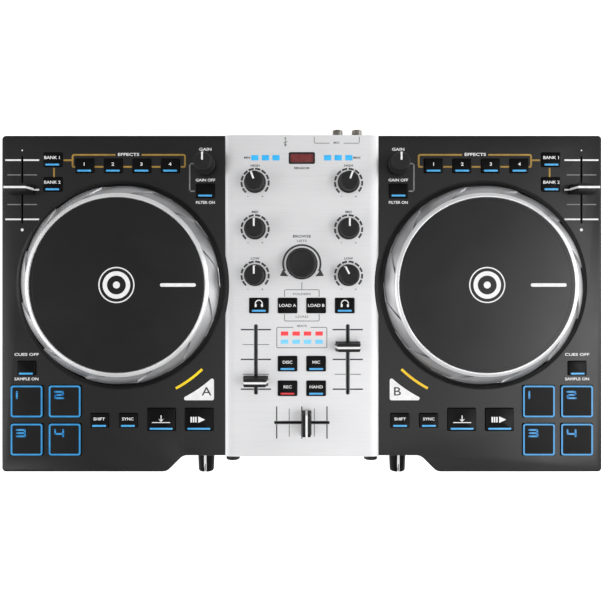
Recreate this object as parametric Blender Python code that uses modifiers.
"""Two-deck DJ controller: shells, mixer plate, jog wheels, faders, knobs, keys, sockets and board.

Run with: blender --background --python part.py
Units are metres, +Z is up and +X is to the player's right. The origin is the middle of the
footprint, on the surface that the feet stand on. Plan places are measured from the jog line,
the left-right line through both jog wheels' centres.
"""

import math

import bmesh
import bpy

MM = 0.001

# ---- Overall case ----
HALF_WIDTH = 228.0 * MM
REAR_EDGE = 113.6 * MM
CENTRE_FRONT = 129.6 * MM
WING_FRONT = 142.0 * MM
WING_INNER_X = 90.3 * MM
CORNER_R = 3.0 * MM
FOOT_HEIGHT = 3.0 * MM
PARTING_Z = 24.0 * MM
DECK_Z = 36.0 * MM
WALL = 2.4 * MM
SKIN = 2.5 * MM
FLOOR = 2.2 * MM
EDGE_ROUND = 1.4 * MM
BOTTOM_ROUND = 4.0 * MM
CLEARANCE = 0.3 * MM

# ---- Feet, screw posts and board standoffs ----
FOOT_R = 9.0 * MM
FOOT_INSET = 26.0 * MM
POST_R = 3.5 * MM
POST_INSET = 7.5 * MM
STANDOFF_R = 3.0 * MM
STANDOFF_X = 100.0 * MM

# ---- Circuit board ----
BOARD_Z = 12.0 * MM
BOARD_THICK = 1.6 * MM
BOARD_INSET = 12.5 * MM
SWITCH_SIDE = 6.0 * MM
SWITCH_TALL = 4.4 * MM
POT_SIDE = 11.0 * MM
POT_DROP = 8.0 * MM
TRACK_WIDTH = 9.0 * MM
TRACK_DROP = 9.0 * MM

# ---- Mixer plate ----
PLATE_HALF = 58.2 * MM
PLATE_RISE = 3.0 * MM
PLATE_THICK = 1.4 * MM
PLATE_ROLL = 8.0 * MM
PLATE_LEDGE = 5.0 * MM
PLATE_LIP = 0.3 * MM

# ---- Jog wheels ----
JOG_X = 137.5 * MM
JOG_R = 75.2 * MM
JOG_GAP = 1.5 * MM
JOG_TALL = 12.0 * MM
JOG_WALL = 2.4 * MM
JOG_SKIRT = 1.6 * MM
JOG_RIM_WIDE = 7.8 * MM
JOG_LIP_WIDE = 2.2 * MM
DISC_THICK = 1.9 * MM
WELL_DEPTH = 5.0 * MM
SURROUND_BEVEL = 2.4 * MM
SURROUND_WIDE = 3.2 * MM
SURROUND_RISE = 0.6 * MM
SPINDLE_R = 6.0 * MM
SPINDLE_TALL = 12.0 * MM
HUB_WALL = 3.0 * MM

# ---- Faders ----
FADER_TRAVEL = 45.0 * MM
CROSS_TRAVEL = 37.0 * MM
FADER_END = 1.6 * MM
CROSS_END = 0.5 * MM
SLOT_WIDTH = 2.2 * MM
LEVER_THICK = 1.2 * MM
LEVER_LONG = 4.0 * MM
CAP_LONG = 19.0 * MM
CAP_SHORT = 7.0 * MM
CAP_TOP_LONG = 16.0 * MM
CAP_TOP_SHORT = 5.6 * MM
CAP_LIFT = 1.2 * MM
CAP_TALL = 12.3 * MM
PITCH_FROM_EDGE = 15.5 * MM
PITCH_Y = 72.4 * MM
VOLUME_X = 34.7 * MM
VOLUME_Y = -56.0 * MM
VOLUME_REST = (-16.2 * MM, 9.7 * MM)
CROSS_Y = -103.9 * MM
CROSS_REST = 3.5 * MM

# ---- Knobs ----
KNOB_R = 8.2 * MM
KNOB_TOP_R = 5.8 * MM
KNOB_TALL = 13.5 * MM
KNOB_SKIRT = 2.2 * MM
KNOB_LIFT = 0.6 * MM
SHAFT_R = 3.0 * MM
EQ_X = 35.3 * MM
EQ_ROWS = (("treble", 77.5 * MM), ("middle", 42.5 * MM), ("bass", 7.4 * MM))
GAIN_X = 73.3 * MM
GAIN_Y = 91.2 * MM
BROWSER_Y = 16.1 * MM
BROWSER_R = 11.9 * MM
BROWSER_TALL = 13.0 * MM

# ---- Keys: width along X, depth along Y ----
KEY_RISE = 1.2 * MM
KEY_GAP = 0.35 * MM
KEY_TRAVEL = 1.5 * MM
FLANGE_WIDE = 1.0 * MM
FLANGE_THICK = 1.3 * MM
STEM_HALF = 2.0 * MM
DECK_KEY = (14.0 * MM, 10.7 * MM)
MIXER_KEY = (14.3 * MM, 11.2 * MM)
PLAY_KEY = (21.4 * MM, 17.2 * MM)
PAD_SIDE = 24.3 * MM
PAD_SPACING = 4.6 * MM
PAD_FIRST_X = 208.7 * MM
PAD_FIRST_Y = -88.3 * MM
EFFECT_Y = 90.6 * MM
EFFECT_FIRST_X = 99.9 * MM
EFFECT_PITCH = 21.7 * MM
BANK_X = 189.2 * MM
BANK_Y = (95.2 * MM, 76.5 * MM)
BRIDGE_THICK = 1.3 * MM
BRIDGE_HALF = 2.5 * MM
FILTER_X = 73.3 * MM
FILTER_Y = 71.5 * MM
SAMPLER_X = 209.2 * MM
SAMPLER_Y = -63.1 * MM
SHIFT_SYNC_Y = -102.8 * MM
CUE_PLAY_Y = -102.1 * MM
RIGHT_STEP = 228.2 * MM
SHIFT_X = -153.7 * MM
SYNC_X = -131.9 * MM
CUE_X = -106.7 * MM
PLAY_X = -78.1 * MM
MIXER_KEYS = (
    ("phones_cue_left", -32.4 * MM, -15.5 * MM),
    ("phones_cue_right", 32.4 * MM, -15.5 * MM),
    ("load_left", -10.8 * MM, -15.5 * MM),
    ("load_right", 10.8 * MM, -15.5 * MM),
    ("vinyl", -10.8 * MM, -59.4 * MM),
    ("microphone", 10.8 * MM, -59.4 * MM),
    ("record", -10.8 * MM, -78.0 * MM),
    ("motion", 10.8 * MM, -78.0 * MM),
)

# ---- Front and rear panel pieces ----
PANEL_AXIS_Z = 17.0 * MM
FRONT_KNOB_X = 75.3 * MM
FRONT_KNOB_R = 6.5 * MM
FRONT_KNOB_END_R = 5.7 * MM
FRONT_KNOB_REACH = 16.6 * MM
FRONT_KNOB_LIFT = 0.8 * MM
FRONT_SHAFT_IN = 6.0 * MM
FRONT_POT_DEEP = 7.0 * MM
JACK_X = 54.2 * MM
JACK_COLLAR_R = 5.4 * MM
JACK_COLLAR_REACH = 7.5 * MM
JACK_BORE_R = 3.2 * MM
JACK_BORE_DEEP = 24.0 * MM
JACK_BODY_HALF = 6.5 * MM
JACK_BODY_LONG = 22.0 * MM
RCA_X = (28.2 * MM, 43.3 * MM)
RCA_R = 4.15 * MM
RCA_REACH = 8.2 * MM
RCA_PIN_R = 1.7 * MM
RCA_PIN_DEEP = 9.0 * MM
RCA_BLOCK_MARGIN = 7.0 * MM
RCA_BLOCK_HALF = 7.0 * MM
RCA_BLOCK_DEEP = 9.0 * MM
USB_X = -12.4 * MM
USB_HALF = (6.0 * MM, 5.4 * MM)
USB_HOLE_HALF = (4.25 * MM, 3.95 * MM)
USB_TONGUE_HALF = (2.8 * MM, 1.6 * MM)
USB_DEEP = 14.0 * MM
USB_HOLE_DEEP = 9.0 * MM
USB_TONGUE_SHORT = 1.5 * MM

ROUND_STEPS = 16
WHEEL_STEPS = 48
CORNER_STEPS = 2

# The footprint reaches from the front knobs to the phono barrels, and the origin is its middle.
FRONT_REACH = max(WING_FRONT, CENTRE_FRONT + FRONT_KNOB_REACH)
JOG_Y = (FRONT_REACH - REAR_EDGE - RCA_REACH) / 2
PLATE_Z = DECK_Z + PLATE_RISE
KNOB_TOP_Z = PLATE_Z + KNOB_TALL
POT_TOP_Z = DECK_Z - POT_DROP
TRACK_TOP_Z = DECK_Z - TRACK_DROP
DISC_R = JOG_R - JOG_RIM_WIDE - JOG_LIP_WIDE - CLEARANCE
SIDES = (("left", -1), ("right", 1))


# ---- Small helpers ----
def clear_scene():
    for obj in list(bpy.data.objects):
        bpy.data.objects.remove(obj, do_unlink=True)
    for collection in list(bpy.data.collections):
        bpy.data.collections.remove(collection)


def new_collection(name):
    collection = bpy.data.collections.new(name)
    bpy.context.scene.collection.children.link(collection)
    return collection


def make_material(name, colour, roughness, metallic=0.0):
    material = bpy.data.materials.new(name)
    material.use_nodes = True
    shader = material.node_tree.nodes["Principled BSDF"]
    shader.inputs["Base Color"].default_value = (*colour, 1.0)
    shader.inputs["Roughness"].default_value = roughness
    shader.inputs["Metallic"].default_value = metallic
    return material


def new_object(name, mesh, collection, location=(0.0, 0.0, 0.0)):
    obj = bpy.data.objects.new(name, mesh)
    collection.objects.link(obj)
    obj.location = location
    return obj


def add_part(name, mesh, material, location=(0.0, 0.0, 0.0)):
    """A visible sub-part. Its location is its plan place from the jog line."""
    if not mesh.materials:
        mesh.materials.append(material)
    obj = new_object(name, mesh, PARTS, location)
    obj.parent = JOG_LINE
    return obj


def add_cutter(name, mesh):
    obj = new_object(name, mesh, CUTTERS)
    obj.hide_render = True
    obj.display_type = "WIRE"
    obj.parent = JOG_LINE
    return obj


def combine(target, tool, operation):
    modifier = target.modifiers.new(tool.name, "BOOLEAN")
    modifier.operation = operation
    modifier.solver = "EXACT"
    modifier.object = tool


def mesh_from(name, build_mesh):
    mesh = bpy.data.meshes.new(name)
    bmesh.ops.recalc_face_normals(build_mesh, faces=build_mesh.faces)
    build_mesh.to_mesh(mesh)
    build_mesh.free()
    return mesh


def smooth(mesh, degrees=35):
    mesh.shade_smooth()
    mesh.set_sharp_from_angle(angle=math.radians(degrees))
    return mesh


# ---- Outlines ----
def offset_corners(corners, distance):
    """The same corners with every side moved inwards, for corners listed anticlockwise."""
    moved = []
    count = len(corners)
    for i, (x, y) in enumerate(corners):
        ax, ay = corners[i - 1]
        bx, by = corners[(i + 1) % count]
        first = math.hypot(x - ax, y - ay)
        second = math.hypot(bx - x, by - y)
        n1 = (-(y - ay) / first, (x - ax) / first)
        n2 = (-(by - y) / second, (bx - x) / second)
        share = distance / (1 + n1[0] * n2[0] + n1[1] * n2[1])
        moved.append((x + (n1[0] + n2[0]) * share, y + (n1[1] + n2[1]) * share))
    return moved


def rounded(corners, radius, steps=CORNER_STEPS):
    """An outline with each corner replaced by a short arc."""
    outline = []
    count = len(corners)
    for i, (x, y) in enumerate(corners):
        ax, ay = corners[i - 1]
        bx, by = corners[(i + 1) % count]
        back = math.hypot(ax - x, ay - y)
        ahead = math.hypot(bx - x, by - y)
        ux, uy = (ax - x) / back, (ay - y) / back
        vx, vy = (bx - x) / ahead, (by - y) / ahead
        half = math.acos(max(-1.0, min(1.0, ux * vx + uy * vy))) / 2
        reach = radius / math.tan(half)
        middle = radius / math.sin(half)
        length = math.hypot(ux + vx, uy + vy)
        cx = x + (ux + vx) / length * middle
        cy = y + (uy + vy) / length * middle
        start = math.atan2(y + uy * reach - cy, x + ux * reach - cx)
        end = math.atan2(y + vy * reach - cy, x + vx * reach - cx)
        sweep = (end - start + math.pi) % (2 * math.pi) - math.pi
        for step in range(steps + 1):
            angle = start + sweep * step / steps
            outline.append((cx + radius * math.cos(angle), cy + radius * math.sin(angle)))
    return outline


def case_corners():
    """The case seen from above: two wings in front, with the middle set back between them."""
    chamfer_x = WING_INNER_X + WING_FRONT - CENTRE_FRONT
    return [
        (HALF_WIDTH, REAR_EDGE),
        (-HALF_WIDTH, REAR_EDGE),
        (-HALF_WIDTH, -WING_FRONT),
        (-chamfer_x, -WING_FRONT),
        (-WING_INNER_X, -CENTRE_FRONT),
        (WING_INNER_X, -CENTRE_FRONT),
        (chamfer_x, -WING_FRONT),
        (HALF_WIDTH, -WING_FRONT),
    ]


def case_outline(inset):
    return rounded(offset_corners(case_corners(), inset), max(CORNER_R - inset, 0.5 * MM))


def rectangle(half_x, half_y):
    return [(half_x, half_y), (-half_x, half_y), (-half_x, -half_y), (half_x, -half_y)]


def circle(radius, steps=WHEEL_STEPS):
    turns = [2 * math.pi * i / steps for i in range(steps)]
    return [(radius * math.cos(turn), radius * math.sin(turn)) for turn in turns]


# ---- Solids ----
def stack_into(build, sections):
    """Grows one solid upwards by extruding a face through sections of (height, outline)."""
    height, outline = sections[0]
    points = [build.verts.new((x, y, height)) for x, y in outline]
    edges = [build.edges.new((points[i - 1], points[i])) for i in range(len(points))]
    face = bmesh.ops.contextual_create(build, geom=edges)["faces"][0]
    ring = list(points)
    for level, (height, outline) in enumerate(sections[1:]):
        grown = bmesh.ops.extrude_face_region(build, geom=[face])["geom"]
        if level:
            bmesh.ops.delete(build, geom=[face], context="FACES_ONLY")
        face = next(part for part in grown if isinstance(part, bmesh.types.BMFace))
        fresh = list(face.verts)
        ring = [min(fresh, key=lambda v, old=old: (v.co - old.co).length) for old in ring]
        for point, (x, y) in zip(ring, outline):
            point.co = (x, y, height)


def stacked(name, sections):
    build = bmesh.new()
    stack_into(build, sections)
    return mesh_from(name, build)


def boxes(name, ranges):
    """One mesh of separate boxes, each given by its low and high corners."""
    build = bmesh.new()
    for low, high in ranges:
        made = bmesh.ops.create_cube(build, size=1.0)["verts"]
        size = [high[i] - low[i] for i in range(3)]
        centre = [(high[i] + low[i]) / 2 for i in range(3)]
        bmesh.ops.scale(build, vec=size, verts=made)
        bmesh.ops.translate(build, vec=centre, verts=made)
    return mesh_from(name, build)


def cylinders(name, rods, steps=ROUND_STEPS):
    """One mesh of separate upright cylinders, each (x, y, low, high, radius)."""
    build = bmesh.new()
    for x, y, low, high, radius in rods:
        made = bmesh.ops.create_cone(
            build, cap_ends=True, segments=steps, radius1=radius, radius2=radius, depth=high - low
        )["verts"]
        bmesh.ops.translate(build, vec=(x, y, (low + high) / 2), verts=made)
    return mesh_from(name, build)


def turned(name, profile, steps, closed=False):
    """A profile of (radius, height) points, listed down its outer side, turned about +Z."""
    build = bmesh.new()
    points = [build.verts.new((radius, 0.0, height)) for radius, height in profile]
    for first, second in zip(points, points[1:]):
        build.edges.new((first, second))
    if closed:
        build.edges.new((points[-1], points[0]))
    flat = bpy.data.meshes.new(name + "_profile")
    build.to_mesh(flat)
    build.free()
    obj = new_object(name + "_turning", flat, CUTTERS)
    screw = obj.modifiers.new("turn", "SCREW")
    screw.steps = steps
    screw.render_steps = steps
    screw.use_merge_vertices = True
    screw.merge_threshold = 0.00001
    mesh = bpy.data.meshes.new_from_object(obj.evaluated_get(bpy.context.evaluated_depsgraph_get()))
    mesh.name = name
    bpy.data.objects.remove(obj)
    bpy.data.meshes.remove(flat)
    return smooth(mesh)


def lathe_along_y(mesh, outward):
    """Lays a turned mesh down so that its top points along +Y or -Y."""
    build = bmesh.new()
    build.from_mesh(mesh)
    for vert in build.verts:
        x, y, z = vert.co
        vert.co = (x, z, -y) if outward > 0 else (x, -z, y)
    return smooth(mesh_from(mesh.name + "_laid", build))


# ---- Places ----
def slot_half(travel, end):
    return travel / 2 + LEVER_LONG / 2 + end


def pitch_places():
    return [(side, sign * (HALF_WIDTH - PITCH_FROM_EDGE), PITCH_Y) for side, sign in SIDES]


def volume_places():
    return [(side, sign * VOLUME_X, VOLUME_Y) for side, sign in SIDES]


def pad_places():
    """Pads 1 and 2 are the back row of each deck and 3 and 4 the front row, left to right."""
    step = PAD_SIDE + PAD_SPACING
    places = []
    for side, sign in SIDES:
        left_x = -PAD_FIRST_X if sign < 0 else PAD_FIRST_X - step
        for number in range(4):
            x = left_x + (number % 2) * step
            y = PAD_FIRST_Y - (number // 2) * step
            places.append((f"pad_{number + 1}_{side}", x, y))
    return places


def transport_places():
    """Shift, sync, cue and play run left to right on both decks."""
    places = []
    for side, shift in (("left", 0.0), ("right", RIGHT_STEP)):
        places.append((f"shift_key_{side}", SHIFT_X + shift, SHIFT_SYNC_Y, DECK_KEY))
        places.append((f"sync_key_{side}", SYNC_X + shift, SHIFT_SYNC_Y, DECK_KEY))
        places.append((f"cue_key_{side}", CUE_X + shift, CUE_PLAY_Y, PLAY_KEY))
        places.append((f"play_key_{side}", PLAY_X + shift, CUE_PLAY_Y, PLAY_KEY))
    return places


def single_key_places():
    """Every deck key that moves alone, apart from the pads."""
    places = transport_places()
    for side, sign in SIDES:
        places.append((f"filter_key_{side}", sign * FILTER_X, FILTER_Y, DECK_KEY))
        places.append((f"sampler_key_{side}", sign * SAMPLER_X, SAMPLER_Y, DECK_KEY))
    return places


def effect_xs(sign):
    return [sign * (EFFECT_FIRST_X + i * EFFECT_PITCH) for i in range(4)]


def ganged_places():
    """Effect and bank keycaps, which share one moulding in each group."""
    places = []
    for _, sign in SIDES:
        places += [(x, EFFECT_Y) for x in effect_xs(sign)]
        places += [(sign * BANK_X, y) for y in BANK_Y]
    return places


def knob_places():
    """Name, place and surface height of every upright potentiometer knob."""
    places = []
    for side, sign in SIDES:
        places.append((f"gain_knob_{side}", sign * GAIN_X, GAIN_Y, DECK_Z))
        for row, y in EQ_ROWS:
            places.append((f"{row}_knob_{side}", sign * EQ_X, y, PLATE_Z))
    return places


def post_places():
    across = HALF_WIDTH - POST_INSET
    return [
        (sign * across, y)
        for sign in (-1, 1)
        for y in (REAR_EDGE - POST_INSET, 0.0, POST_INSET - WING_FRONT)
    ]


def foot_places():
    across = HALF_WIDTH - FOOT_INSET
    rows = (REAR_EDGE - FOOT_INSET, FOOT_INSET - WING_FRONT)
    return [(x, y) for x in (-across, 0.0, across) for y in rows]


# ---- Case ----
def keyhole(x, y, size, low, high):
    half_x = size[0] / 2 + KEY_GAP
    half_y = size[1] / 2 + KEY_GAP
    return (x - half_x, y - half_y, low), (x + half_x, y + half_y, high)


def build_top_cover(material):
    """Both decks in one shell, open below, with a well and spindle for each jog wheel."""
    low = PARTING_Z + CLEARANCE / 2
    skin_z = DECK_Z - SKIN
    below = low - 5 * MM
    above = DECK_Z + 5 * MM
    shell = stacked(
        "top_cover",
        [
            (low, case_outline(0.0)),
            (DECK_Z - EDGE_ROUND, case_outline(0.0)),
            (DECK_Z - 0.4 * EDGE_ROUND, case_outline(0.25 * EDGE_ROUND)),
            (DECK_Z, case_outline(EDGE_ROUND)),
        ],
    )
    cover = add_part("top_cover", shell, material)
    hollow = stacked("hollow", [(below, case_outline(WALL)), (skin_z, case_outline(WALL))])
    combine(cover, add_cutter("cover_hollow", hollow), "DIFFERENCE")

    well_r = JOG_R + JOG_GAP
    floor_z = DECK_Z - WELL_DEPTH
    bevel_r = well_r + SURROUND_BEVEL
    outer_r = bevel_r + SURROUND_WIDE
    top_z = DECK_Z + SURROUND_RISE
    skin_middle = DECK_Z - SKIN / 2
    bevel_low = top_z - 0.65 * SURROUND_BEVEL
    cup = stacked(
        "jog_cup",
        [
            (floor_z - SKIN, circle(well_r + WALL)),
            (skin_middle, circle(well_r + WALL)),
            (skin_middle, circle(outer_r)),
            (DECK_Z, circle(outer_r)),
            (top_z, circle(outer_r - SURROUND_RISE)),
        ],
    )
    well = stacked(
        "jog_well",
        [
            (floor_z, circle(well_r)),
            (bevel_low, circle(well_r)),
            (top_z, circle(bevel_r)),
            (above, circle(bevel_r)),
        ],
    )
    spindle = cylinders("spindle", [(0, 0, floor_z - SKIN / 2, floor_z + SPINDLE_TALL, SPINDLE_R)])
    for side, sign in SIDES:
        for tool, mesh, operation in (
            ("cup", cup, "UNION"),
            ("well", well, "DIFFERENCE"),
            ("spindle", spindle, "UNION"),
        ):
            cutter = add_cutter(f"{tool}_{side}", mesh)
            cutter.location.x = sign * JOG_X
            combine(cover, cutter, operation)

    window_half = PLATE_HALF - PLATE_LEDGE
    holes = [
        (
            (-window_half, PLATE_LEDGE + WALL - CENTRE_FRONT, below),
            (window_half, REAR_EDGE - PLATE_LEDGE - WALL, above),
        )
    ]
    for _, x, y, size in single_key_places():
        holes.append(keyhole(x, y, size, below, above))
    for x, y in ganged_places():
        holes.append(keyhole(x, y, DECK_KEY, below, above))
    for _, x, y in pad_places():
        holes.append(keyhole(x, y, (PAD_SIDE, PAD_SIDE), below, above))
    reach = slot_half(FADER_TRAVEL, FADER_END)
    for _, x, y in pitch_places():
        holes.append(
            ((x - SLOT_WIDTH / 2, y - reach, below), (x + SLOT_WIDTH / 2, y + reach, above))
        )
    combine(cover, add_cutter("deck_openings", boxes("deck_openings", holes)), "DIFFERENCE")
    rods = [(sign * GAIN_X, GAIN_Y, below, above, SHAFT_R + CLEARANCE) for _, sign in SIDES]
    combine(cover, add_cutter("gain_holes", cylinders("gain_holes", rods)), "DIFFERENCE")
    return cover


def build_bottom_case(material):
    """The lower tray, with feet, screw posts, board standoffs and the panel holes."""
    low = FOOT_HEIGHT
    high = PARTING_Z - CLEARANCE / 2
    floor_z = low + FLOOR
    tray = stacked(
        "bottom_case",
        [
            (low, case_outline(BOTTOM_ROUND)),
            (low + 0.3 * BOTTOM_ROUND, case_outline(0.3 * BOTTOM_ROUND)),
            (low + BOTTOM_ROUND, case_outline(0.0)),
            (high, case_outline(0.0)),
        ],
    )
    case = add_part("bottom_case", tray, material)
    hollow = stacked(
        "tray_hollow",
        [
            (floor_z, case_outline(BOTTOM_ROUND)),
            (floor_z + BOTTOM_ROUND - FLOOR, case_outline(WALL)),
            (high + 5 * MM, case_outline(WALL)),
        ],
    )
    combine(case, add_cutter("tray_hollow", hollow), "DIFFERENCE")
    feet = [(x, y, 0.0, low + FLOOR / 2, FOOT_R) for x, y in foot_places()]
    posts = [(x, y, low + FLOOR / 2, high, POST_R) for x, y in post_places()]
    standoffs = [
        (x, y, low + FLOOR / 2, BOARD_Z - CLEARANCE, STANDOFF_R)
        for x in (-STANDOFF_X, STANDOFF_X)
        for y in (REAR_EDGE - 2 * FOOT_INSET, -REAR_EDGE + 2 * FOOT_INSET)
    ]
    raised = cylinders("raised", feet + posts + standoffs)
    combine(case, add_cutter("feet_and_posts", raised), "UNION")

    shafts = []
    for _, sign in SIDES:
        shafts.append((sign * FRONT_KNOB_X, SHAFT_R + CLEARANCE, -CENTRE_FRONT))
        shafts.append((sign * JACK_X, JACK_COLLAR_R + CLEARANCE, -CENTRE_FRONT))
    shafts += [(x, RCA_R + CLEARANCE, REAR_EDGE) for x in RCA_X]
    build = bmesh.new()
    for x, radius, y in shafts:
        made = bmesh.ops.create_cone(
            build,
            cap_ends=True,
            segments=ROUND_STEPS,
            radius1=radius,
            radius2=radius,
            depth=4 * WALL,
        )["verts"]
        for vert in made:
            cx, cy, cz = vert.co
            vert.co = (x + cx, y + cz, PANEL_AXIS_Z - cy)
    combine(case, add_cutter("panel_holes", mesh_from("panel_holes", build)), "DIFFERENCE")
    half_x, half_z = (USB_HALF[0] + CLEARANCE, USB_HALF[1] + CLEARANCE)
    opening = boxes(
        "usb_opening",
        [
            (
                (USB_X - half_x, REAR_EDGE - 2 * WALL, PANEL_AXIS_Z - half_z),
                (USB_X + half_x, REAR_EDGE + WALL, PANEL_AXIS_Z + half_z),
            )
        ],
    )
    combine(case, add_cutter("usb_opening", opening), "DIFFERENCE")
    return case


def build_centre_plate(material):
    """A formed sheet: flat top, sides rolled down to the deck, and a bite beside each jog wheel."""
    low = DECK_Z + CLEARANCE
    roll = [(0.0, 0.0), (0.3, 0.55), (0.62, 0.87), (1.0, 1.0)]
    front = -CENTRE_FRONT
    rear = REAR_EDGE - PLATE_LIP

    def section(inset, height):
        half = PLATE_HALF - inset
        return height, [(half, rear), (-half, rear), (-half, front), (half, front)]

    rise = PLATE_Z - low
    outer = stacked("centre_plate", [section(PLATE_ROLL * i, low + rise * h) for i, h in roll])
    plate = add_part("centre_plate", outer, material)
    tuck = WALL + CLEARANCE
    inner_half = PLATE_HALF - PLATE_ROLL
    under = boxes(
        "plate_under",
        [
            (
                (-inner_half, front + tuck, low - PLATE_RISE),
                (inner_half, rear - tuck, PLATE_Z - PLATE_THICK),
            )
        ],
    )
    combine(plate, add_cutter("plate_under", under), "DIFFERENCE")
    bite_r = JOG_R + JOG_GAP + SURROUND_BEVEL + SURROUND_WIDE + CLEARANCE
    rods = [(sign * JOG_X, 0.0, low - 5 * MM, PLATE_Z + 5 * MM, bite_r) for _, sign in SIDES]
    bites = cylinders("plate_bites", rods, WHEEL_STEPS)
    combine(plate, add_cutter("plate_bites", bites), "DIFFERENCE")

    below = low - 2 * PLATE_RISE
    above = PLATE_Z + PLATE_RISE
    holes = [keyhole(x, y, MIXER_KEY, below, above) for _, x, y in MIXER_KEYS]
    reach = slot_half(FADER_TRAVEL, FADER_END)
    for _, x, y in volume_places():
        holes.append(
            ((x - SLOT_WIDTH / 2, y - reach, below), (x + SLOT_WIDTH / 2, y + reach, above))
        )
    cross = slot_half(CROSS_TRAVEL, CROSS_END)
    holes.append(
        ((-cross, CROSS_Y - SLOT_WIDTH / 2, below), (cross, CROSS_Y + SLOT_WIDTH / 2, above))
    )
    combine(plate, add_cutter("plate_openings", boxes("plate_openings", holes)), "DIFFERENCE")
    shaft_holes = [
        (x, y, below, above, SHAFT_R + CLEARANCE)
        for _, x, y, surface in knob_places()
        if surface == PLATE_Z
    ]
    shaft_holes.append((0.0, BROWSER_Y, below, above, SHAFT_R + CLEARANCE))
    combine(plate, add_cutter("plate_shafts", cylinders("plate_shafts", shaft_holes)), "DIFFERENCE")
    return plate


def build_circuit_board(material):
    """The main board with everything soldered to it: key switches, potentiometers, fader tracks."""
    top = BOARD_Z + BOARD_THICK
    outline = rounded(offset_corners(case_corners(), BOARD_INSET), CORNER_R)
    sheet = stacked("circuit_board", [(BOARD_Z, outline), (top, outline)])
    board = add_part("circuit_board", sheet, material)
    low = BOARD_Z - 5 * MM
    high = top + 5 * MM
    room = 2 * MM
    notches = []
    for _, sign in SIDES:
        x = sign * JACK_X
        half = JACK_BODY_HALF + room
        deep = WALL + JACK_BODY_LONG + room
        notches.append(
            ((x - half, -CENTRE_FRONT, low), (x + half, -CENTRE_FRONT + deep, high))
        )
    deep = WALL + max(USB_DEEP, RCA_BLOCK_DEEP) + room
    notches.append(
        (
            (USB_X - USB_HALF[0] - room, REAR_EDGE - deep, low),
            (RCA_X[-1] + RCA_BLOCK_MARGIN + room, REAR_EDGE, high),
        )
    )
    combine(board, add_cutter("board_notches", boxes("board_notches", notches)), "DIFFERENCE")

    sunk = BOARD_THICK / 2
    raised = []
    keys = [(x, y) for _, x, y, _ in single_key_places()]
    keys += [(x, y) for _, x, y in pad_places()] + ganged_places()
    keys += [(x, y) for _, x, y in MIXER_KEYS]
    half = SWITCH_SIDE / 2
    for x, y in keys:
        raised.append(((x - half, y - half, top - sunk), (x + half, y + half, top + SWITCH_TALL)))
    half = POT_SIDE / 2
    pots = [(x, y) for _, x, y, _ in knob_places()] + [(0.0, BROWSER_Y)]
    for x, y in pots:
        raised.append(((x - half, y - half, top - sunk), (x + half, y + half, POT_TOP_Z)))
    half = TRACK_WIDTH / 2
    reach = slot_half(FADER_TRAVEL, FADER_END) + WALL
    for _, x, y in pitch_places() + volume_places():
        raised.append(((x - half, y - reach, top - sunk), (x + half, y + reach, TRACK_TOP_Z)))
    cross = slot_half(CROSS_TRAVEL, CROSS_END) + WALL
    raised.append(
        ((-cross, CROSS_Y - half, top - sunk), (cross, CROSS_Y + half, TRACK_TOP_Z))
    )
    pot_y = -CENTRE_FRONT + WALL + FRONT_SHAFT_IN + CLEARANCE
    half = POT_SIDE / 2
    for _, sign in SIDES:
        x = sign * FRONT_KNOB_X
        raised.append(
            (
                (x - half, pot_y, BOARD_Z + sunk / 2),
                (x + half, pot_y + FRONT_POT_DEEP, PANEL_AXIS_Z + half),
            )
        )
    combine(board, add_cutter("soldered", boxes("soldered", raised)), "UNION")
    return board


# ---- Jog wheels ----
def wheel_mesh():
    """A hollow turned wheel: skirt, sloping rim, a lip round the disc, a web and a hub."""
    low = DECK_Z - JOG_SKIRT
    top = DECK_Z + JOG_TALL
    seat = top - DISC_THICK - CLEARANCE
    under = seat - JOG_WALL
    lip_r = DISC_R + CLEARANCE
    shoulder = DECK_Z + 0.13 * JOG_TALL
    hub_low = DECK_Z - WELL_DEPTH + 1 * MM
    bore_r = SPINDLE_R + CLEARANCE
    profile = [
        (lip_r, top),
        (JOG_R - JOG_RIM_WIDE, top),
        (JOG_R - 0.35 * JOG_RIM_WIDE, top - 0.35 * JOG_TALL),
        (JOG_R, shoulder),
        (JOG_R, low),
        (JOG_R - JOG_WALL, low),
        (JOG_R - JOG_WALL, shoulder - 1 * MM),
        (lip_r - JOG_WALL, under),
        (bore_r + HUB_WALL, under),
        (bore_r + HUB_WALL, hub_low),
        (bore_r, hub_low),
        (bore_r, seat),
        (lip_r, seat),
    ]
    return turned("jog_wheel", profile, WHEEL_STEPS, closed=True)


def disc_mesh():
    top = DECK_Z + JOG_TALL
    profile = [
        (0.0, top),
        (DISC_R - 0.5 * MM, top),
        (DISC_R, top - 0.5 * MM),
        (DISC_R, top - DISC_THICK),
        (0.0, top - DISC_THICK),
    ]
    return turned("jog_disc", profile, WHEEL_STEPS)


# ---- Faders ----
def fader_mesh(name, surface, across):
    """A tapered cap on a flat lever. across is 0 where the cap is long in X, 1 where in Y."""
    base = surface + CAP_LIFT

    def section(height, long_side, short_side):
        sides = (long_side / 2, short_side / 2)
        return height, rectangle(*(sides if across == 0 else sides[::-1]))

    return stacked(
        name,
        [
            section(TRACK_TOP_Z + CLEARANCE, LEVER_THICK, LEVER_LONG),
            section(base, LEVER_THICK, LEVER_LONG),
            section(base, CAP_LONG - 1 * MM, CAP_SHORT - 1 * MM),
            section(base + 0.8 * MM, CAP_LONG, CAP_SHORT),
            section(base + 3 * MM, CAP_LONG, CAP_SHORT),
            section(base + CAP_TALL - 1 * MM, CAP_TOP_LONG + 1 * MM, CAP_TOP_SHORT + 1 * MM),
            section(base + CAP_TALL, CAP_TOP_LONG, CAP_TOP_SHORT),
        ],
    )


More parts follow.
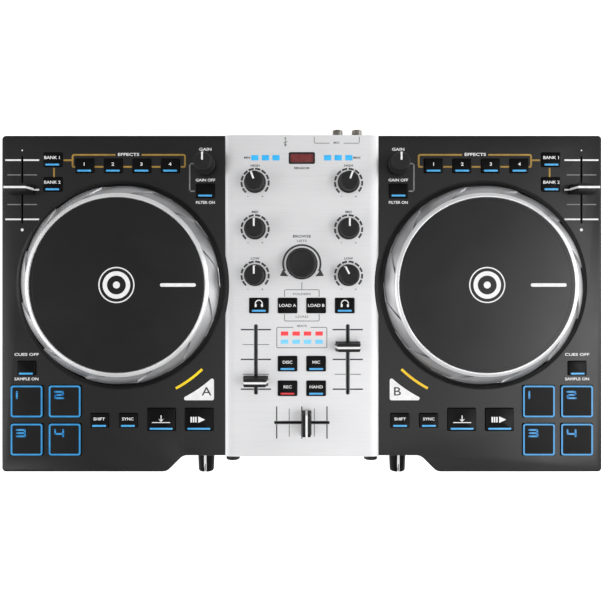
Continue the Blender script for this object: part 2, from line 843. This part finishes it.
# ---- Knobs ----
def knob_mesh(name, surface):
    base = surface + KNOB_LIFT
    profile = [
        (0.0, KNOB_TOP_Z),
        (KNOB_TOP_R, KNOB_TOP_Z),
        (KNOB_TOP_R + 0.5 * MM, base + KNOB_SKIRT + 1.2 * MM),
        (KNOB_R, base + KNOB_SKIRT),
        (KNOB_R, base),
        (SHAFT_R, base),
        (SHAFT_R, POT_TOP_Z + CLEARANCE),
        (0.0, POT_TOP_Z + CLEARANCE),
    ]
    return turned(name, profile, ROUND_STEPS)


def browser_mesh():
    base = PLATE_Z + KNOB_LIFT
    top = PLATE_Z + BROWSER_TALL
    profile = [
        (0.0, top),
        (BROWSER_R - 2 * MM, top),
        (BROWSER_R - 0.6 * MM, top - 1.2 * MM),
        (BROWSER_R, base),
        (SHAFT_R, base),
        (SHAFT_R, POT_TOP_Z + CLEARANCE),
        (0.0, POT_TOP_Z + CLEARANCE),
    ]
    return turned("browser_knob", profile, ROUND_STEPS + 8)


def front_knob_mesh():
    """Turned about its own axis, from the tip down to the end of the shaft, then laid forwards."""
    tip = FRONT_KNOB_REACH
    profile = [
        (0.0, tip),
        (FRONT_KNOB_END_R, tip),
        (FRONT_KNOB_R, FRONT_KNOB_LIFT),
        (SHAFT_R, FRONT_KNOB_LIFT),
        (SHAFT_R, -WALL - FRONT_SHAFT_IN),
        (0.0, -WALL - FRONT_SHAFT_IN),
    ]
    return lathe_along_y(turned("front_knob", profile, ROUND_STEPS), -1)


# ---- Keys ----
def key_mesh(name, size, surface, skin, outline=rectangle):
    """A cap with a hidden flange that keeps it in, and a stem that reaches down to its switch."""
    half_x, half_y = size[0] / 2, size[1] / 2
    flange_top = surface - skin - CLEARANCE
    flange_low = flange_top - FLANGE_THICK
    stem_low = BOARD_Z + BOARD_THICK + SWITCH_TALL + KEY_TRAVEL + CLEARANCE
    top = surface + KEY_RISE
    chamfer = 0.4 * MM
    stem = outline(STEM_HALF, STEM_HALF)
    flange = outline(half_x + FLANGE_WIDE, half_y + FLANGE_WIDE)
    cap = outline(half_x, half_y)
    return stacked(
        name,
        [
            (stem_low, stem),
            (flange_low, stem),
            (flange_low, flange),
            (flange_top, flange),
            (flange_top, cap),
            (top - chamfer, cap),
            (top, outline(half_x - chamfer, half_y - chamfer)),
        ],
    )


def ganged_mesh(name, offsets, size, surface, skin):
    """Keycaps in a row joined by a thin bridge under the deck, as one moulding."""
    flange_top = surface - skin - CLEARANCE
    flange_low = flange_top - FLANGE_THICK
    stem_low = BOARD_Z + BOARD_THICK + SWITCH_TALL + KEY_TRAVEL + CLEARANCE
    top = surface + KEY_RISE
    ranges = []
    for x, y in offsets:
        half_x, half_y = size[0] / 2, size[1] / 2
        wide_x, wide_y = half_x + FLANGE_WIDE, half_y + FLANGE_WIDE
        cap_low = flange_low + FLANGE_THICK / 2
        ranges.append(((x - half_x, y - half_y, cap_low), (x + half_x, y + half_y, top)))
        ranges.append(((x - wide_x, y - wide_y, flange_low), (x + wide_x, y + wide_y, flange_top)))
        ranges.append(
            (
                (x - STEM_HALF, y - STEM_HALF, stem_low),
                (x + STEM_HALF, y + STEM_HALF, flange_low + FLANGE_THICK / 3),
            )
        )
    xs = [x for x, _ in offsets]
    ys = [y for _, y in offsets]
    ranges.append(
        (
            (min(xs) - BRIDGE_HALF, min(ys) - BRIDGE_HALF, flange_low - BRIDGE_THICK / 2),
            (max(xs) + BRIDGE_HALF, max(ys) + BRIDGE_HALF, flange_low + BRIDGE_THICK / 2),
        )
    )
    return ranges


def add_ganged(name, offsets, material, location):
    """Unions the boxes of one ganged moulding into a single solid."""
    ranges = ganged_mesh(name, offsets, DECK_KEY, DECK_Z, SKIN)
    obj = add_part(name, boxes(name, ranges[-1:]), material, location)
    tools = ranges[:-1]
    for layer in range(3):
        mesh = boxes(f"{name}_layer", tools[layer::3])
        tool = add_cutter(f"{name}_layer_{layer}", mesh)
        tool.location = location
        combine(obj, tool, "UNION")
    return obj


# ---- Sockets ----
def build_jack(name, sign, material):
    """A 6.35 mm jack: square body behind the wall, threaded collar through it, blind bore."""
    body_top = -WALL - CLEARANCE
    collar = turned(
        name + "_collar",
        [
            (0.0, JACK_COLLAR_REACH),
            (JACK_COLLAR_R - 0.5 * MM, JACK_COLLAR_REACH),
            (JACK_COLLAR_R, JACK_COLLAR_REACH - 0.5 * MM),
            (JACK_COLLAR_R, body_top - 1 * MM),
            (0.0, body_top - 1 * MM),
        ],
        ROUND_STEPS,
    )
    bore = turned(
        name + "_bore",
        [
            (0.0, JACK_COLLAR_REACH + 5 * MM),
            (JACK_BORE_R, JACK_COLLAR_REACH + 5 * MM),
            (JACK_BORE_R, JACK_COLLAR_REACH - JACK_BORE_DEEP),
            (0.0, JACK_COLLAR_REACH - JACK_BORE_DEEP),
        ],
        ROUND_STEPS,
    )
    half = JACK_BODY_HALF
    body = boxes(
        name,
        [((-half, -body_top, -half), (half, -body_top + JACK_BODY_LONG - CLEARANCE, half))],
    )
    place = (sign * JACK_X, -CENTRE_FRONT, PANEL_AXIS_Z)
    jack = add_part(name, body, material, place)
    for tool, mesh, operation in (("collar", collar, "UNION"), ("bore", bore, "DIFFERENCE")):
        cutter = add_cutter(f"{name}_{tool}", lathe_along_y(mesh, -1))
        cutter.location = place
        combine(jack, cutter, operation)
    return jack


def build_rca_sockets(material):
    """One moulded block with two phono barrels that pass through the rear wall."""
    front = REAR_EDGE - WALL - CLEARANCE
    block = boxes(
        "rca_sockets",
        [
            (
                (
                    RCA_X[0] - RCA_BLOCK_MARGIN,
                    front - RCA_BLOCK_DEEP,
                    PANEL_AXIS_Z - RCA_BLOCK_HALF,
                ),
                (RCA_X[-1] + RCA_BLOCK_MARGIN, front, PANEL_AXIS_Z + RCA_BLOCK_HALF),
            )
        ],
    )
    sockets = add_part("rca_sockets", block, material)
    barrel = turned(
        "rca_barrel",
        [
            (0.0, RCA_REACH),
            (RCA_R - 0.5 * MM, RCA_REACH),
            (RCA_R, RCA_REACH - 0.5 * MM),
            (RCA_R, -WALL - 1 * MM),
            (0.0, -WALL - 1 * MM),
        ],
        ROUND_STEPS,
    )
    pin_hole = turned(
        "rca_pin_hole",
        [
            (0.0, RCA_REACH + 1 * MM),
            (RCA_PIN_R, RCA_REACH + 1 * MM),
            (RCA_PIN_R, RCA_REACH - RCA_PIN_DEEP),
            (0.0, RCA_REACH - RCA_PIN_DEEP),
        ],
        ROUND_STEPS,
    )
    for number, x in enumerate(RCA_X):
        for tool, mesh, operation in (
            ("barrel", barrel, "UNION"),
            ("pin_hole", pin_hole, "DIFFERENCE"),
        ):
            cutter = add_cutter(f"rca_{tool}_{number}", lathe_along_y(mesh, 1))
            cutter.location = (x, REAR_EDGE, PANEL_AXIS_Z)
            combine(sockets, cutter, operation)
    return sockets


def build_usb_socket(material):
    """A square USB socket, its mouth flush with the rear wall and a tongue inside."""
    z = PANEL_AXIS_Z
    mouth = REAR_EDGE
    back = REAR_EDGE - USB_HOLE_DEEP
    half_x, half_z = USB_HALF
    hole_x, hole_z = USB_HOLE_HALF
    tongue_x, tongue_z = USB_TONGUE_HALF
    body = boxes(
        "usb_socket",
        [((USB_X - half_x, mouth - USB_DEEP, z - half_z), (USB_X + half_x, mouth, z + half_z))],
    )
    socket = add_part("usb_socket", body, material)
    hole = boxes(
        "usb_hole",
        [((USB_X - hole_x, back, z - hole_z), (USB_X + hole_x, mouth + WALL, z + hole_z))],
    )
    combine(socket, add_cutter("usb_hole", hole), "DIFFERENCE")
    tongue = boxes(
        "usb_tongue",
        [
            (
                (USB_X - tongue_x, back - 1 * MM, z - tongue_z),
                (USB_X + tongue_x, mouth - USB_TONGUE_SHORT, z + tongue_z),
            )
        ],
    )
    combine(socket, add_cutter("usb_tongue", tongue), "UNION")
    return socket


# ---- The whole controller ----
clear_scene()
PARTS = new_collection("dj_controller")
CUTTERS = new_collection("cutters")
JOG_LINE = bpy.data.objects.new("jog_line", None)
PARTS.objects.link(JOG_LINE)
JOG_LINE.location = (0.0, JOG_Y, 0.0)

case_black = make_material("case_black", (0.022, 0.022, 0.024), 0.5)
plate_aluminium = make_material("plate_aluminium", (0.66, 0.66, 0.67), 0.32, 1.0)
board_green = make_material("board_green", (0.02, 0.12, 0.05), 0.55)
rim_chrome = make_material("rim_chrome", (0.60, 0.61, 0.62), 0.2, 1.0)
disc_black = make_material("disc_black", (0.020, 0.020, 0.021), 0.42)
cap_black = make_material("cap_black", (0.012, 0.012, 0.013), 0.5)
key_black = make_material("key_black", (0.010, 0.010, 0.011), 0.45)
pad_black = make_material("pad_black", (0.014, 0.014, 0.015), 0.6)
socket_black = make_material("socket_black", (0.015, 0.015, 0.016), 0.4)
socket_steel = make_material("socket_steel", (0.55, 0.55, 0.56), 0.3, 1.0)

build_bottom_case(case_black)
build_top_cover(case_black)
build_centre_plate(plate_aluminium)
build_circuit_board(board_green)

wheel = wheel_mesh()
disc = disc_mesh()
for side, sign in SIDES:
    add_part(f"jog_wheel_{side}", wheel, rim_chrome, (sign * JOG_X, 0.0, 0.0))
    add_part(f"jog_disc_{side}", disc, disc_black, (sign * JOG_X, 0.0, 0.0))

pitch_cap = fader_mesh("pitch_cap", DECK_Z, 0)
for side, x, y in pitch_places():
    add_part(f"pitch_fader_{side}", pitch_cap, cap_black, (x, y, 0.0))
volume_cap = fader_mesh("volume_cap", PLATE_Z, 0)
for (side, x, y), rest in zip(volume_places(), VOLUME_REST):
    add_part(f"volume_fader_{side}", volume_cap, cap_black, (x, y + rest, 0.0))
cross_cap = fader_mesh("cross_cap", PLATE_Z, 1)
add_part("crossfader", cross_cap, cap_black, (CROSS_REST, CROSS_Y, 0.0))

knob_meshes = {
    PLATE_Z: knob_mesh("plate_knob", PLATE_Z),
    DECK_Z: knob_mesh("deck_knob", DECK_Z),
}
for name, x, y, surface in knob_places():
    add_part(name, knob_meshes[surface], cap_black, (x, y, 0.0))
add_part("browser_knob", browser_mesh(), cap_black, (0.0, BROWSER_Y, 0.0))
front_knob = front_knob_mesh()
for name, sign in (("microphone_level_knob", -1), ("phones_level_knob", 1)):
    add_part(name, front_knob, cap_black, (sign * FRONT_KNOB_X, -CENTRE_FRONT, PANEL_AXIS_Z))

pad = key_mesh("pad", (PAD_SIDE, PAD_SIDE), DECK_Z, SKIN)
for name, x, y in pad_places():
    add_part(name, pad, pad_black, (x, y, 0.0))
deck_keys = {
    DECK_KEY: key_mesh("deck_key", DECK_KEY, DECK_Z, SKIN),
    PLAY_KEY: key_mesh("play_key", PLAY_KEY, DECK_Z, SKIN),
}
for name, x, y, size in single_key_places():
    add_part(name, deck_keys[size], key_black, (x, y, 0.0))
mixer_key = key_mesh("mixer_key", MIXER_KEY, PLATE_Z, PLATE_THICK)
for name, x, y in MIXER_KEYS:
    add_part(f"{name}_key", mixer_key, key_black, (x, y, 0.0))
for side, sign in SIDES:
    first = effect_xs(sign)[0]
    offsets = [(x - first, 0.0) for x in effect_xs(sign)]
    add_ganged(f"effect_keys_{side}", offsets, key_black, (first, EFFECT_Y, 0.0))
    offsets = [(0.0, y - BANK_Y[0]) for y in BANK_Y]
    add_ganged(f"bank_keys_{side}", offsets, key_black, (sign * BANK_X, BANK_Y[0], 0.0))

build_jack("microphone_socket", -1, socket_black)
build_jack("phones_socket", 1, socket_black)
build_rca_sockets(socket_black)
build_usb_socket(socket_steel)
